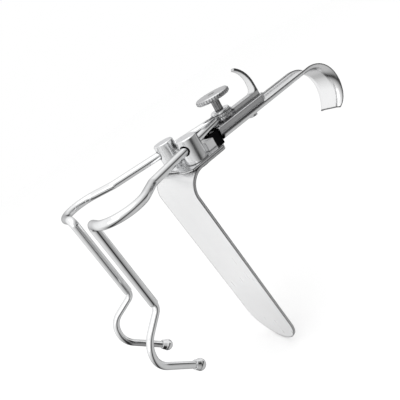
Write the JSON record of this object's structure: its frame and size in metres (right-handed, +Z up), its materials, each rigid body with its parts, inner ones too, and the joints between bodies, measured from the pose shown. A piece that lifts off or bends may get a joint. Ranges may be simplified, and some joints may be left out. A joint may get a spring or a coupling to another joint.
{
  "type": "vaginal speculum",
  "caption": "Speculum with a flat tongue blade and bent-wire side blades that slide through swivelling drums, with a thumb-screw clamp and a hooked handle.",
  "frame": {"origin": "midway between the two drums, on the top face of the base plate", "axes": "+Z up along the drum axes, +X back along the handle towards the large hook, +Y to the left"},
  "size_m": [0.187, 0.0672, 0.1391],
  "materials": {
    "polished_steel": "mirror polished",
    "buffed_sheet": "buffed",
    "turned_steel": "turned",
    "plated_disc": "polished with a cut edge",
    "dark_steel": "dark oxidised",
    "fastener_steel": "turned"
  },
  "bodies": {
    "frame": {"blade": "buffed_sheet", "base_plate": "polished_steel", "neck_block": "dark_steel", "bridge_block": "polished_steel", "handle": "buffed_sheet", "guide_channel": "turned_steel", "root_rivet_front": "fastener_steel", "root_rivet_rear": "fastener_steel", "left_neck_rivet": "fastener_steel", "right_neck_rivet": "fastener_steel", "guide_rivet_front": "fastener_steel", "guide_rivet_rear": "fastener_steel"},
    "slider": {"slider_bar": "turned_steel", "eye_spacer": "turned_steel", "pivot_stud": "turned_steel", "keeper_screw": "fastener_steel", "keeper_washer": "fastener_steel", "finger_hook": "polished_steel", "clamp_washer": "turned_steel", "hook_rivet_front": "fastener_steel", "hook_rivet_rear": "fastener_steel"},
    "left_arm": {"left_wire": "polished_steel", "left_side_hook": "polished_steel", "left_tip": "polished_steel", "left_eye": "turned_steel"},
    "right_arm": {"right_wire": "polished_steel", "right_side_hook": "polished_steel", "right_tip": "polished_steel", "right_eye": "turned_steel"},
    "left_swivel": {"left_drum": "polished_steel", "left_drum_retainer": "fastener_steel"},
    "right_swivel": {"right_drum": "polished_steel", "right_drum_retainer": "fastener_steel"},
    "thumb_screw": {"thumb_stem": "turned_steel", "thumb_disc": "plated_disc"}
  },
  "joints": [
    {"name": "slide_back", "type": "slide", "parent": "frame", "child": "slider", "axis": [1, 0, 0], "range_m": [-0.002, 0.008]},
    {"name": "left_arm_turn", "type": "hinge", "parent": "slider", "child": "left_arm", "pos_m": [0.032, 0, 0.0074], "axis": [0, 0, 1], "range_deg": [-1.2, 4.2]},
    {"name": "right_arm_turn", "type": "hinge", "parent": "slider", "child": "right_arm", "pos_m": [0.032, 0, 0.0074], "axis": [0, 0, 1], "range_deg": [-4.2, 1.2]},
    {"name": "left_drum_turn", "type": "hinge", "parent": "frame", "child": "left_swivel", "pos_m": [0, 0.0107, 0.0074], "axis": [0, 0, 1], "range_deg": [-1.2, 4.2]},
    {"name": "right_drum_turn", "type": "hinge", "parent": "frame", "child": "right_swivel", "pos_m": [0, -0.0107, 0.0074], "axis": [0, 0, 1], "range_deg": [-4.2, 1.2]},
    {"name": "thumb_turn", "type": "hinge", "parent": "slider", "child": "thumb_screw", "pos_m": [0.032, 0, 0.0074], "axis": [0, 0, 1], "range_deg": [0, 540]}
  ],
  "couplings": [
    {"joint": "left_arm_turn", "follows": "slide_back", "rad_per_m": 8.0285},
    {"joint": "right_arm_turn", "follows": "slide_back", "rad_per_m": -8.0285},
    {"joint": "left_drum_turn", "follows": "slide_back", "rad_per_m": 8.0285},
    {"joint": "right_drum_turn", "follows": "slide_back", "rad_per_m": -8.0285}
  ]
}
